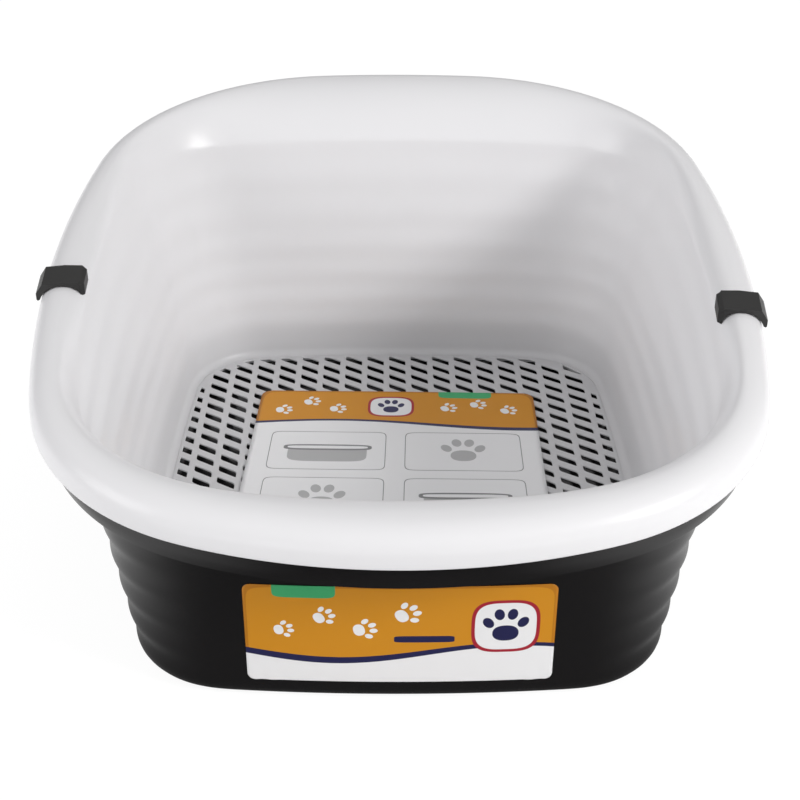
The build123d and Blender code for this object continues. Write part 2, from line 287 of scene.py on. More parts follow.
class PrintSizes(bpy.types.PropertyGroup):
    label_width: size("Label width", "Width of the front label", 0.1535)
    label_height: size("Label height", "Height of the front label", 0.0629)
    label_middle: size("Label middle", "Height of the label's middle", 0.0458)
    label_corner: size("Label corner", "Corner radius of the label", 0.004)
    label_lift: size("Label lift", "How far its face stands off the pan", 0.0004)
    card_width: size("Card width", "Width of the card", 0.185)
    card_length: size("Card length", "Length of the card", 0.226)
    card_margin: size("Card margin", "From the floor's back edge to the card", 0.0541)
    card_corner: size("Card corner", "Corner radius of the card", 0.007)
    card_thickness: size("Card thickness", "Thickness of the card", 0.0006)
    card_gap: size("Card gap", "Gap under the card", 0.0003)
    card_taper: share("Card taper", "Share by which its back is narrower than its front", 0.05)
    card_turn: FloatProperty(
        name="Card turn", description="Turn of the card", default=math.radians(-1.3), subtype="ANGLE"
    )


class FinishColours(bpy.types.PropertyGroup):
    white: shade("Pearl white", "Colour of the tray", (0.81, 0.805, 0.82))
    white_deep: shade("Pearl shade", "Darker streaks in the tray", (0.775, 0.773, 0.79))
    black: shade("Black", "Colour of the pans", (0.0075, 0.0068, 0.0072))
    black_light: shade("Black, light", "Lighter streaks in the pans", (0.0095, 0.0088, 0.0092))
    satin: shade("Satin black", "Colour of the clips", (0.015, 0.0145, 0.014))
    satin_light: shade("Satin black, light", "Lighter grain in the clips", (0.022, 0.0215, 0.021))
    orange: shade("Orange", "Field of the prints", (0.66, 0.27, 0.006))
    orange_deep: shade("Orange, deep", "Border of the prints", (0.52, 0.19, 0.003))
    navy: shade("Navy", "Swing, bar and badge paw of the prints", (0.018, 0.018, 0.085))
    green: shade("Green", "Tabs of the prints", (0.05, 0.42, 0.16))
    red: shade("Red", "Border of the badges", (0.40, 0.012, 0.03))
    paper: shade("Paper", "White of the prints", (0.88, 0.88, 0.89))
    pencil: shade("Pencil", "Grey of the pictures", (0.22, 0.22, 0.225))
    pencil_light: shade("Light pencil", "Light grey of the pictures", (0.47, 0.47, 0.475))


class StageSizes(bpy.types.PropertyGroup):
    lens: FloatProperty(name="Lens", description="Focal length in millimetres", default=72.4)
    place: FloatVectorProperty(
        name="Camera place", description="Where the camera stands", subtype="TRANSLATION",
        default=(-0.005343, -0.81566, 0.5331), size=3,
    )
    down: FloatProperty(
        name="Look down", description="Angle below the horizon",
        default=math.radians(29.12), subtype="ANGLE",
    )
    turn: FloatProperty(
        name="Turn", description="Angle to the left", default=math.radians(-0.4344), subtype="ANGLE"
    )
    roll: FloatProperty(
        name="Roll", description="Roll of the camera", default=math.radians(0.2464), subtype="ANGLE"
    )
    floor: size("Floor", "Width of the floor", 30.0)
    key: FloatProperty(name="Key light", description="Power in watts", default=24.0)
    left: FloatProperty(name="Left light", description="Power in watts", default=14.0)
    front: FloatProperty(name="Front light", description="Power in watts", default=1.75)
    sky: FloatProperty(name="Sky", description="Strength of the sky at the horizon", default=0.69)


GROUPS = {
    "litter_rim": RimSizes,
    "litter_body": BodySizes,
    "litter_waves": WaveSizes,
    "litter_slots": SlotSizes,
    "litter_clips": ClipSizes,
    "litter_print": PrintSizes,
    "litter_finish": FinishColours,
    "litter_stage": StageSizes,
}


def quarter(half_width, half_depth, side_arc, end_arc, corner):
    """Quarter of an oval, from the middle of its side to the middle of its end.

    Three circular arcs meet at common tangents. The corner arc's centre lies where a circle
    round each neighbour's centre, with the difference of their radii, meets the other.
    """
    side = np.array([half_width - side_arc, 0.0])
    end = np.array([0.0, half_depth - end_arc])
    to_side = side_arc - corner
    to_end = end_arc - corner
    between = end - side
    span = np.hypot(*between)
    unit = between / span
    along = (to_side**2 - to_end**2 + span**2) / (2 * span)
    across = math.sqrt(to_side**2 - along**2)
    middle = side + unit * along + np.array([-unit[1], unit[0]]) * across
    first = math.atan2(middle[1] - side[1], middle[0] - side[0])
    last = math.atan2(middle[1] - end[1], middle[0] - end[0])
    arcs = []
    for centre, radius, start, stop in (
        (side, side_arc, 0.0, first), (middle, corner, first, last), (end, end_arc, last, QUARTER_TURN)
    ):
        angle = np.linspace(start, stop, ARC_STEPS)
        arcs.append(centre + radius * np.stack([np.cos(angle), np.sin(angle)], 1))
    return np.concatenate([arcs[0], arcs[1][1:], arcs[2][1:]])


def oval(half_width, half_depth, arcs, centre=0.0):
    """Closed outline seen from above, as x and y, from the middle of the front anticlockwise.

    The eight arcs are walked at even steps, softened where two arcs meet, and sampled where
    the mean of the way walked and the angle turned, both as shares, grows evenly.
    """
    side_arc, front_arc, back_arc, front_corner, back_corner = arcs
    behind = quarter(half_width, half_depth, side_arc, back_arc, back_corner)
    ahead = quarter(half_width, half_depth, side_arc, front_arc, front_corner) * (1, -1)
    right = np.concatenate([ahead[::-1], behind[1:]])
    left = right[::-1] * (-1, 1)
    loop = np.concatenate([right[:-1], left])
    way = np.concatenate([[0.0], np.cumsum(np.hypot(*np.diff(loop, axis=0).T))])
    even = np.linspace(0.0, way[-1], EVEN_STEPS, endpoint=False)
    line = np.interp(even, way, loop[:, 0]) + 1j * np.interp(even, way, loop[:, 1])
    rate = 2 * math.pi * np.fft.fftfreq(EVEN_STEPS, d=way[-1] / EVEN_STEPS)
    spectrum = np.fft.fft(line) * np.exp(-((rate * SOFTENING) ** 2) / 2)
    line = np.fft.ifft(spectrum)
    turned = np.unwrap(np.angle(np.fft.ifft(1j * rate * spectrum)))
    progress = (even / way[-1] + (turned - turned[0]) / (2 * math.pi)) / 2
    progress = np.append(progress, 1.0)
    wanted = np.arange(COLUMNS) / COLUMNS
    x = np.interp(wanted, progress, np.append(line.real, line.real[0]))
    y = np.interp(wanted, progress, np.append(line.imag, line.imag[0]))
    return np.stack([x, y + centre], 1)


def mix(low, high, part):
    """Ring that lies part of the way from one ring to another."""
    return low + (high - low) * part


def smooth_step(value):
    """0 below 0, 1 above 1, and a cubic between."""
    value = np.clip(value, 0, 1)
    return value * value * (3 - 2 * value)


def outward(ring):
    """Level unit vectors that point out of a ring, square to it."""
    along = np.roll(ring, -1, axis=0) - np.roll(ring, 1, axis=0)
    out = np.stack([along[:, 1], -along[:, 0], np.zeros(len(ring))], 1)
    return out / np.linalg.norm(out, axis=1, keepdims=True)


def bend(start, corner, end, steps):
    """Rings of a parabola from start to end that has its tangents' crossing at corner."""
    parts = np.linspace(0, 1, steps)
    return [(1 - t) ** 2 * start + 2 * t * (1 - t) * corner + t * t * end for t in parts]


class Form:
    """Rings that the shells share, worked out from the sizes of the rim and the body."""

    def __init__(self, scene):
        self.rim = scene.litter_rim
        self.body = scene.litter_body
        self.waves = scene.litter_waves
        self.slots = scene.litter_slots
        rim, body = self.rim, self.body
        self.half_width = rim.width / 2 - body.side_step
        self.half_depth = rim.depth / 2 - body.end_step
        self.tilt = (rim.back - rim.front) / (rim.depth - 2 * rim.roll_width)
        self.middle = (rim.back + rim.front) / 2

    def body_ring(self, level, height, inset=0.0):
        """Level ring of a body, height above its own underside, which its drafts widen upward."""
        body = self.body
        half_width = self.half_width + body.side_draft * height - level * body.side_inset - inset
        half_depth = self.half_depth + body.end_draft * height - level * body.end_inset - inset
        corner = body.corner + body.corner_growth * height - inset
        side_arc, end_arc = body.side_arc - inset, body.end_arc - inset
        arcs = (side_arc, end_arc, end_arc, corner, corner)
        flat = oval(half_width, half_depth, arcs, body.shift)
        return np.column_stack([flat, np.full(len(flat), level * body.nest_rise + height)])

    def rim_plan(self, inset):
        """Outline of the rim seen from above, inset from the tray's lip."""
        rim = self.rim
        arcs = (
            rim.side_arc - inset, rim.front_arc - inset, rim.back_arc - inset,
            rim.front_corner - inset, rim.back_corner - inset,
        )
        return oval(rim.width / 2 - inset, rim.depth / 2 - inset, arcs)

    def step_down(self, level):
        """How far a shell's crown lies below the tray's."""
        return (TRAY - level) * (self.body.wall + self.body.seat_gap)

    def rim_ring(self, level, inset, drop, tilt=0.0):
        """Ring on a plane drop below the crown of a rim: its height grows evenly with y."""
        flat = self.rim_plan(inset)
        height = self.middle - drop - self.step_down(level) + (self.tilt + tilt) * flat[:, 1]
        return np.column_stack([flat, height])

    def knee_ring(self, level, inset=0.0):
        """Level ring where the wall starts to flare out towards the rim."""
        return self.body_ring(level, self.body.knee - level * self.body.nest_rise, inset)

    def dome_fall(self, y):
        """Fall from the crown's plane to the rim's inner edge: a hyperbola along y.

        Far to the back and to the front it runs along two slopes, and it is least between.
        """
        rim = self.rim
        way = y - rim.fall_place
        curve = np.hypot(way, rim.fall_blend) - rim.fall_blend
        even = (rim.back_fall - rim.front_fall) / 2 * way
        return rim.fall + even + (rim.back_fall + rim.front_fall) / 2 * curve

    def dome_ring(self, level, part, growth=0.0, drop=0.0):
        """Ring on the dome, part of the way from the crown to its inner edge.

        Its fall is the edge's fall times a power of that part.
        """
        rim, body = self.rim, self.body
        growth += (TRAY - level) * (body.wall + body.edge_growth)
        half_width = rim.width / 2 - body.edge_side_step + growth
        half_depth = rim.depth / 2 - body.edge_end_step + growth
        arcs = (
            body.edge_side_arc, body.edge_end_arc, body.edge_end_arc,
            body.edge_front_corner + growth, body.edge_back_corner + growth,
        )
        edge = oval(half_width, half_depth, arcs, body.shift)
        flat = mix(self.rim_plan(rim.roll_width), edge, part)
        fall = self.dome_fall(edge[:, 1]) * part**rim.dome_power
        height = self.middle - drop - self.step_down(level) + self.tilt * flat[:, 1] - fall
        return np.column_stack([flat, height])

    def edge_ring(self, level, growth=0.0, drop=0.0):
        """Ring where the dome meets the wall."""
        return self.dome_ring(level, 1, growth, drop)

    def lip_inset(self, level):
        """How far a lip stands inside the tray's lip, seen from above."""
        if level == TRAY:
            return 0.0
        return self.rim.pan_inset + (INNER - level) * (self.body.wall + self.rim.skirt_gap)

    def roll_ring(self, level, angle, thickness=0.0):
        """Ring on the outer roll, a quarter ellipse from the lip to the crown."""
        rim = self.rim
        width = max(rim.roll_width - self.lip_inset(level) - thickness, 0)
        inset = rim.roll_width - width * math.cos(angle)
        drop = rim.roll_height - (rim.roll_height - thickness) * math.sin(angle)
        return self.rim_ring(level, inset, drop)

    def lip_ring(self, level, thickness, part, lift=0.0):
        """Ring on the straight lip, part of the way from the roll down to its edge."""
        rim = self.rim
        full, tilt = (rim.lip, rim.lip_tilt) if level == TRAY else (rim.skirt, rim.skirt_tilt)
        drop = rim.roll_height + (full - rim.roll_height) * part - lift
        return self.rim_ring(level, self.lip_inset(level) + thickness, drop, tilt * part)

    def floor_height(self, level):
        """Height of the inside floor above the underside."""
        if level == TRAY:
            return self.slots.plate
        return self.body.floor + (self.body.foot_height if level == OUTER else 0.0)

    def base_radius(self, level):
        """Outside rounding between the wall and the floor."""
        return self.body.tray_radius if level == TRAY else self.body.pan_radius

    def base_bend(self, level, height, radius, inset, angles):
        """Rings of the quarter circle between floor and wall, from flat (0) to upright."""
        return [
            self.body_ring(
                level, height + radius * (1 - math.cos(a)), inset + radius * (1 - math.sin(a))
            )
            for a in angles
        ]

    def wall_rows(self, rings, parts, waves, inward=False):
        """Rings at shares of a wall, from its floor ring over its soft knee to the rim's edge.

        The wall runs straight from ring to ring, but follows a parabola within the blend to each
        side of the knee. waves holds the depth and number of the waves, each a raised cosine,
        and whether they end at the knee. They bulge out of the hollow, or into it where inward
        is set, and then they fade out before the front panel.
        """
        low, knee, high = rings
        depth, count, to_knee = waves
        rise, flare = (np.linalg.norm(b - a, axis=1).mean() for a, b in ((low, knee), (knee, high)))
        turn, blend = rise / (rise + flare), self.body.knee_blend
        first = (knee - low) / turn
        last = (high - knee) / (1 - turn)
        out = outward(low)
        if inward:
            side = np.abs(low[:, 0]) - self.waves.front_half
            calm = np.where(low[:, 1] < 0, smooth_step(side / self.waves.front_fade), 1.0)
            out = -out * calm[:, None]
        crests = np.minimum(parts / (turn if to_knee else 1), 1) * count
        heights = depth * (1 - np.cos(2 * math.pi * crests)) / 2
        past = parts - turn
        bent = np.where(past > blend, past, np.maximum(past + blend, 0) ** 2 / (4 * blend))
        return [
            low + first * part + (last - first) * way + out * height
            for part, way, height in zip(parts, bent, heights)
        ]

    def top_rows(self, level, wall_steps, waves):
        """Rings of the upper face, from the floor over the rim to the lip's edge."""
        body = self.body
        floor = self.floor_height(level)
        radius = self.base_radius(level) - body.wall
        angles = np.linspace(0, QUARTER_TURN, BASE_ROWS)
        rows = self.base_bend(level, floor, radius, body.wall, angles)
        low, high = rows[-1], self.edge_ring(level)
        near = body.edge_round / np.linalg.norm(high - low, axis=1).mean()
        rings = low, self.knee_ring(level, body.wall), high
        rows += self.wall_rows(rings, np.linspace(0, 1 - near, wall_steps)[1:], waves)
        band = np.linalg.norm(high - self.rim_ring(level, self.rim.roll_width, 0), axis=1).mean()
        last = 1 - body.edge_round / band
        rows += bend(rows[-1], high, self.dome_ring(level, last), CREASE_ROWS)[1:]
        rows += [self.dome_ring(level, part) for part in np.linspace(last, 0, DOME_ROWS)[1:]]
        rows += [self.roll_ring(level, a) for a in np.linspace(QUARTER_TURN, 0, ROLL_ROWS)[1:]]
        return rows + [self.lip_ring(level, 0, part) for part in LIP_SHARES]

    def lip_edge(self, level):
        """Rings round the lip's lower edge, from its outer face to its inner one."""
        wall = self.body.wall
        edge = wall * LIP_ROUND_SHARE
        corner = edge * (1 - math.sqrt(0.5))
        places = (
            (0, edge), (corner, corner), (edge, 0),
            (wall - edge, 0), (wall - corner, corner), (wall, edge),
        )
        return [self.lip_ring(level, inset, 1, lift) for inset, lift in places]

    def under_rows(self, level, wall_steps, waves):
        """Rings of the lower face, from the lip's inside back to the underside."""
        body = self.body
        wall = body.wall
        rows = [self.lip_ring(level, wall, UNDER_LIP_SHARE)]
        angles = np.linspace(0, QUARTER_TURN, UNDER_ROLL_ROWS)
        rows += [self.roll_ring(level, a, wall) for a in angles]
        parts = np.linspace(0, UNDER_DOME_SHARE, UNDER_DOME_ROWS)[1:]
        rows += [self.dome_ring(level, part, wall, wall) for part in parts]
        radius = self.base_radius(level)
        bends = self.base_bend(level, 0, radius, 0, np.linspace(QUARTER_TURN, 0, BASE_ROWS))
        low, high = bends[0], self.edge_ring(level, wall, wall)
        near = 2 * body.edge_round / np.linalg.norm(high - low, axis=1).mean()
        rings = low, self.knee_ring(level), high
        wall_face = self.wall_rows(rings, np.linspace(1 - near, 0, wall_steps), waves, inward=True)
        rows += bend(rows[-1], high, wall_face[0], UNDER_CREASE_ROWS)[1:-1]
        return rows + wall_face[:-1] + bends


def ring_quads(below, above):
    """Quads between rows of point numbers, whose columns close on themselves."""
    corners = [below, np.roll(below, -1, axis=1), np.roll(above, -1, axis=1), above]
    return np.stack(corners, -1).reshape(-1, 4)


def grid_mesh(name, rows, close_rows=False, poles=()):
    """Mesh of a grid whose columns close on themselves.

    poles holds a point for the first row and one for the last: a fan closes each end.
    """
    count, columns = len(rows), len(rows[0])
    points = np.concatenate(rows)
    index = np.arange(count * columns).reshape(count, columns)
    below = index if close_rows else index[:-1]
    above = np.roll(index, -1, axis=0) if close_rows else index[1:]
    fans = []
    for end, pole in enumerate(poles):
        ring = index[0] if end == 0 else index[-1]
        tip = np.full(columns, len(points))
        points = np.vstack([points, pole])
        after = np.roll(ring, -1)
        fans.append(np.stack([tip, after, ring] if end == 0 else [tip, ring, after], 1))
    return faces_mesh(name, points, [ring_quads(below, above)] + fans)


def faces_mesh(name, points, faces):
    """Mesh from an array of points and arrays of faces with like numbers of corners."""
    mesh = bpy.data.meshes.new(name)
    mesh.vertices.add(len(points))
    mesh.vertices.foreach_set("co", np.asarray(points, np.float32).ravel())
    corners = np.concatenate([part.ravel() for part in faces])
    totals = np.concatenate([np.full(len(part), part.shape[1]) for part in faces])
    mesh.loops.add(len(corners))
    mesh.loops.foreach_set("vertex_index", corners.astype(np.int32))
    mesh.polygons.add(len(totals))
    mesh.polygons.foreach_set("loop_start", (np.cumsum(totals) - totals).astype(np.int32))
    mesh.update(calc_edges=True)
    mesh.validate()
    return mesh


def add_piece(mesh, body, material, replaced):
    """Object for a finished mesh that rides on a body and stands for CAD nodes."""
    mesh.shade_smooth()
    mesh.set_sharp_from_angle(angle=SHARP_ANGLE)
    mesh.materials.append(material)
    piece = bpy.data.objects.new(mesh.name, mesh)
    bpy.context.scene.collection.objects.link(piece)
    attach(piece, body)
    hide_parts(*replaced)
    return piece


def pan_centre(form, ring, parts):
    """Rings at shares of the way from the middle of a flat floor to a level ring, and the middle."""
    middle = np.array([0.0, form.body.shift, ring[0, 2]])
    return [mix(middle, ring, part) for part in parts], middle


def build_shell(scene, level):
    """One shell: upper face, lip and lower face in one closed grid.

    The tray's grid closes round its open floor. A pan's two flat floors shrink to their middles,
    and the outer pan's underside has a recess inside the ring that it stands on.
    """
    form = Form(scene)
    waves = form.waves
    plain = (0, 0, False)
    if level == TRAY:
        top = form.top_rows(level, WAVY_ROWS, (waves.tray_depth, waves.tray_count, False))
        rows = top + form.lip_edge(level) + form.under_rows(level, PLAIN_ROWS, plain)
        mesh = grid_mesh("tray_shell", rows, close_rows=True)
    else:
        top = form.top_rows(level, PLAIN_ROWS, plain)
        if level == OUTER:
            body = form.body
            under = form.under_rows(level, WAVY_ROWS, (waves.pan_depth, waves.pan_count, True))
            inset = body.pan_radius + body.foot_width
            under.append(form.body_ring(level, 0, inset))
            under.append(form.body_ring(level, body.foot_height, inset + body.foot_height))
        else:
            under = form.under_rows(level, PLAIN_ROWS, plain)
        inner_rings, inner_pole = pan_centre(form, top[0], CENTRE_SHARES)
        outer_rings, outer_pole = pan_centre(form, under[-1], CENTRE_SHARES[::-1])
        rows = inner_rings + top + form.lip_edge(level) + under + outer_rings
        mesh = grid_mesh(f"{BODIES[level]}_shell", rows, poles=(inner_pole, outer_pole))
    slot = FINISHES[level]
    return add_piece(mesh, BODIES[level], finish(scene, slot), [BODIES[level]])


def round_corners(corners, cuts):
    """Polygon whose corners are parabolas that start cut before each corner."""
    before = np.roll(corners, 1, axis=0) - corners
    after = np.roll(corners, -1, axis=0) - corners
    reach = np.minimum(np.linalg.norm(before, axis=1), np.linalg.norm(after, axis=1)) / 2
    cuts = np.minimum(cuts, reach)[:, None]
    start = corners + before / np.linalg.norm(before, axis=1, keepdims=True) * cuts
    end = corners + after / np.linalg.norm(after, axis=1, keepdims=True) * cuts
    t = np.linspace(0, 1, CORNER_STEPS)[None, :, None]
    curves = (1 - t) ** 2 * start[:, None] + 2 * t * (1 - t) * corners[:, None]
    curves += t * t * end[:, None]
    return curves.reshape(-1, 2)


def area(polygon):
    """Area of a flat polygon."""
    x, y = polygon[:, 0], polygon[:, 1]
    return abs(np.dot(x, np.roll(y, -1)) - np.dot(y, np.roll(x, -1))) / 2


def cut_by_line(polygon, point, out):
    """The part of a polygon that lies on the inner side of a line."""
    depth = (polygon - point) @ out
    kept = []
    for here, after, d, e in zip(polygon, np.roll(polygon, -1, 0), depth, np.roll(depth, -1)):
        if d <= 0:
            kept.append(here)
        if d * e < 0:
            kept.append(here + (after - here) * d / (d - e))
    return np.array(kept)


def slot_outlines(form):
    """Outlines of all slots: a slanted cell in rows and columns, cut short by the edge."""
    slots = form.slots
    edge = form.body_ring(TRAY, slots.plate, form.body.tray_radius)[:, :2]
    limit = form.body_ring(TRAY, slots.plate, form.body.tray_radius + slots.margin)
    normals, limit = outward(limit)[:, :2], limit[:, :2]
    run = math.cos(slots.angle) * slots.length / 2
    rise = math.sin(slots.angle) * slots.length / 2
    up = slots.width / math.cos(slots.angle) / 2
    cell = np.array([(-run, -rise - up), (run, rise - up), (run, rise + up), (-run, -rise + up)])
    cuts = np.array([slots.side_round, slots.tip_round] * 2)
    columns = int(edge[:, 0].max() / slots.column_pitch)
    rows = int(np.ptp(edge[:, 1]) / slots.row_pitch)
    outlines = []
    for row in range(rows):
        for column in range(-columns, columns + 1):
            y = edge[:, 1].max() - slots.row_margin - row * slots.row_pitch
            place = np.array([column * slots.column_pitch, y])
            corners = cell + place
            near = np.argmin(((limit - place) ** 2).sum(1))
            kept = cut_by_line(corners, limit[near], normals[near])
            if len(kept) == 4 and np.allclose(kept, corners):
                outlines.append(round_corners(corners, cuts))
            elif len(kept) > 2 and area(kept) > slots.least * area(corners):
                outlines.append(round_corners(kept, np.full(len(kept), slots.tip_round)))
    return edge, outlines


def build_sifting_floor(scene):
    """Flat plate with bevelled slots: a filled flat curve, turned into a mesh."""
    form = Form(scene)
    slots = form.slots
    edge, outlines = slot_outlines(form)
    curve = bpy.data.curves.new("sifting_floor_outline", "CURVE")
    curve.dimensions = "2D"
    curve.fill_mode = "BOTH"
    curve.extrude = slots.skin / 2 - slots.edge
    curve.bevel_depth = slots.edge
    curve.bevel_resolution = 0
    curve.offset = -slots.edge
    for points in [edge] + outlines:
        spline = curve.splines.new("POLY")
        spline.points.add(len(points) - 1)
        flat = np.column_stack([points, np.zeros(len(points)), np.ones(len(points))])
        spline.points.foreach_set("co", flat.astype(np.float32).ravel())
        spline.use_cyclic_u = True
    holder = bpy.data.objects.new("sifting_floor_outline", curve)
    bpy.context.scene.collection.objects.link(holder)
    graph = bpy.context.evaluated_depsgraph_get()
    mesh = bpy.data.meshes.new_from_object(holder.evaluated_get(graph))
    bpy.data.objects.remove(holder)
    bpy.data.curves.remove(curve)
    mesh.name = "sifting_floor"
    low = TRAY * form.body.nest_rise
    mesh.transform(Matrix.Translation((0, 0, low + slots.plate - slots.skin / 2)))
    mesh.materials.clear()
    material = finish(scene, "pearl_white")
    return add_piece(mesh, "sifting_tray", material, ["sifting_grille"])


def clip_profile(form, clips, place):
    """Section of a clip across the rim: x outward from the crown, y up.

    Its underside keeps the gap from the rim's roll, an ellipse, and from its dome. Its top is a
    polygon in steps of a quarter of the thickness.
    """
    rim = form.rim
    under, over = clips.gap, clips.gap + clips.thickness
    dome_width = form.body.edge_side_step - rim.roll_width

    def roll(offset, angles):
        x = (rim.roll_width + offset) * np.cos(angles)
        y = (rim.roll_height + offset) * np.sin(angles) - rim.roll_height
        return np.stack([x, y], 1)

    def plate(offset, places):
        fall = form.dome_fall(place) * (places / dome_width) ** rim.dome_power
        return np.stack([-places, offset - fall], 1)

    far = rim.roll_width + under + clips.thickness / 2
    flat = clips.reach - clips.bevel
    step = clips.thickness / 4
    plate_steps, roll_steps, roll_start, roll_end = 8, 9, 90, 18
    top = np.array([
        (rim.roll_width + under + clips.tip_width / 2, -clips.tip_drop),
        (far, step - clips.tip_drop), (far, -6 * step), (far - 2 * step, -3 * step),
        (far - 6 * step, over - 2 * step), (0, over - step / 2), (-flat, over - step),
        (-clips.reach, over - 3 * step),
    ])
    bottom = [
        plate(under, np.linspace(clips.reach, 0, plate_steps)),
        roll(under, np.radians(np.linspace(roll_start, roll_end, roll_steps)))[1:],
    ]
    return np.concatenate([top] + bottom)


def build_clip(scene, name, side, place):
    """Clip over the rim: its section carried along the rim, with cut inner corners."""
    form = Form(scene)
    clips = scene.litter_clips
    rim = form.rim
    side_arc = rim.side_arc - rim.roll_width
    inward = side_arc - math.sqrt(side_arc**2 - place**2)
    height = form.middle + form.tilt * place
    origin = np.array([side * (rim.width / 2 - rim.roll_width - inward), place, height])
    turn = math.asin(place / side_arc)
    out = np.array([side * math.cos(turn), math.sin(turn), 0.0])
    along = np.array([-side * math.sin(turn), math.cos(turn), form.tilt]) * side
    along /= np.linalg.norm(along)
    up = np.cross(out, along)
    up *= np.sign(up[2])
    profile = clip_profile(form, clips, place)
    half = clips.length / 2
    flat = clips.reach - clips.bevel
    rows = []
    past = np.minimum(profile[:, 0] + flat, 0)
    full = half - clips.corner
    for way, cut in ((-half, clips.corner), (-full, 0), (full, 0), (half, clips.corner)):
        x = profile[:, 0] - past * cut / clips.bevel
        rows.append(origin + np.outer(x, out) + np.outer(profile[:, 1], up) + along * way)
    index = np.arange(len(rows) * len(profile)).reshape(len(rows), -1)
    quads = ring_quads(index[:-1], index[1:])
    ends = [index[0][::-1][None], index[-1][None]]
    if np.dot(np.cross(out, up), along) > 0:
        quads = quads[:, ::-1]
        ends = [end[:, ::-1] for end in ends]
    mesh = faces_mesh(f"{name}_body", np.concatenate(rows), [quads] + ends)
    piece = add_piece(mesh, name, finish(scene, "black_satin"), [name])
    rounding = piece.modifiers.new("rounded edges", "BEVEL")
    rounding.width = clips.edge
    rounding.segments = 3
    rounding.limit_method = "ANGLE"
    rounding.angle_limit = BEVEL_ANGLE
    return piece


def rounded_sheet(width, height, corner, columns, rows):
    """Grid over a rectangle with round corners: x and y, and their shares from 0 to 1.

    Near the two ends, each row is as wide as the round corners leave it, and the rows lie
    closer: they stand between even steps and the steps of a cosine.
    """
    closer_share = 0.7
    along = (1 - np.cos(np.linspace(0, math.pi, rows))) / 2
    even = np.linspace(0, 1, rows)
    y = (mix(even, along, closer_share) - 0.5) * height
    into = np.clip((np.abs(y) - (height / 2 - corner)) / corner, 0, 1)
    half = width / 2 - corner * (1 - np.sqrt(1 - into**2))
    x = np.outer(half, np.linspace(-1, 1, columns))
    y = np.repeat(y[:, None], columns, axis=1)
    return x, y, x / width + 0.5, y / height + 0.5


def sheet_mesh(name, points, u, v):
    """Open grid mesh with a UV map, from arrays of rows by columns."""
    rows, columns = u.shape
    index = np.arange(rows * columns).reshape(rows, columns)
    quads = np.stack(
        [index[:-1, :-1], index[:-1, 1:], index[1:, 1:], index[1:, :-1]], -1
    ).reshape(-1, 4)
    mesh = faces_mesh(name, points.reshape(-1, 3), [quads])
    layer = mesh.uv_layers.new(name="print")
    corners = np.empty(len(mesh.loops), np.int32)
    mesh.loops.foreach_get("vertex_index", corners)
    pairs = np.stack([u.ravel()[corners], v.ravel()[corners]], 1)
    layer.data.foreach_set("uv", pairs.astype(np.float32).ravel())
    return mesh


def add_thickness(piece, thickness):
    """Gives a sheet its thickness on the side away from its face."""
    solid = piece.modifiers.new("thickness", "SOLIDIFY")
    solid.thickness = thickness
    solid.offset = -1


def build_label(scene):
    """Label that follows the front panel: each row is read off the pan's wall at its height.

    It ripples near its two lower corners: a sine along its foot, times a bell up from the foot,
    times a bell near each side.
    """
    form = Form(scene)
    prints = scene.litter_print
    columns, rows = 120, 60
    ripple_height, ripple_pace = 0.0005, 90
    foot_share, side_place_share, side_share = 0.12, 0.04, 0.06
    x, up, u, v = rounded_sheet(
        prints.label_width, prints.label_height, prints.label_corner, columns, rows
    )
    z = prints.label_middle + up
    low = form.body_ring(OUTER, form.body.pan_radius)
    high = form.knee_ring(OUTER)
    # The quarter of the columns that has the middle of the front in its middle
    front = np.roll(np.arange(COLUMNS), COLUMNS // 8)[: COLUMNS // 4 + 1]
    low, high = low[front], high[front]
    y = np.empty_like(x)
    for row, height in enumerate(z[:, 0]):
        part = (height - low[:, 2]) / (high[:, 2] - low[:, 2])
        ring = mix(low, high, part[:, None])
        y[row] = np.interp(x[row], ring[:, 0], ring[:, 1])
    from_side = np.minimum(u, 1 - u) - side_place_share
    ripple = np.exp(-(v / foot_share) ** 2) * np.exp(-(from_side / side_share) ** 2)
    lift = prints.label_lift + ripple_height * ripple * (1 + np.sin(u * ripple_pace)) / 2
    points = np.stack([x, y - lift, z], -1)
    mesh = sheet_mesh("label_sheet", points, u, v)
    material = finish(scene, "label_print")
    piece = add_piece(mesh, "outer_pan", material, ["front_label"])
    add_thickness(piece, prints.label_lift / 2)
    return piece


def build_card(scene):
    """Card that lies on the sifting floor, turned a little, with a faint curl, a slanting sine."""
    form = Form(scene)
    prints = scene.litter_print
    columns, rows = 60, 80
    curl, curl_across, curl_along = 0.0002, 7, 4
    x, y, u, v = rounded_sheet(
        prints.card_width, prints.card_length, prints.card_corner, columns, rows
    )
    edge = form.body_ring(TRAY, form.slots.plate, form.body.tray_radius)
    back = edge[:, 1].max() - prints.card_margin
    turn = prints.card_turn
    x = x * (1 - prints.card_taper * v)
    y = y - prints.card_length / 2
    top = edge[0, 2] + prints.card_gap + prints.card_thickness
    z = top + curl * (1 + np.sin(u * curl_across + v * curl_along)) / 2
    across = x * math.cos(turn) - y * math.sin(turn)
    deep = back + x * math.sin(turn) + y * math.cos(turn)
    points = np.stack([across, deep, z], -1)
    mesh = sheet_mesh("card_sheet", points, u, v)
    material = finish(scene, "card_print")
    piece = add_piece(mesh, "insert_card", material, ["insert_card"])
    add_thickness(piece, prints.card_thickness)
    return piece


def node(tree, kind, inputs=None, **settings):
    """Adds a shader node with its plain settings and the values of its inputs."""
    made = tree.nodes.new(kind)
    for key, value in settings.items():
        setattr(made, key, value)
    for socket, value in (inputs or {}).items():
        made.inputs[socket].default_value = value
    return made


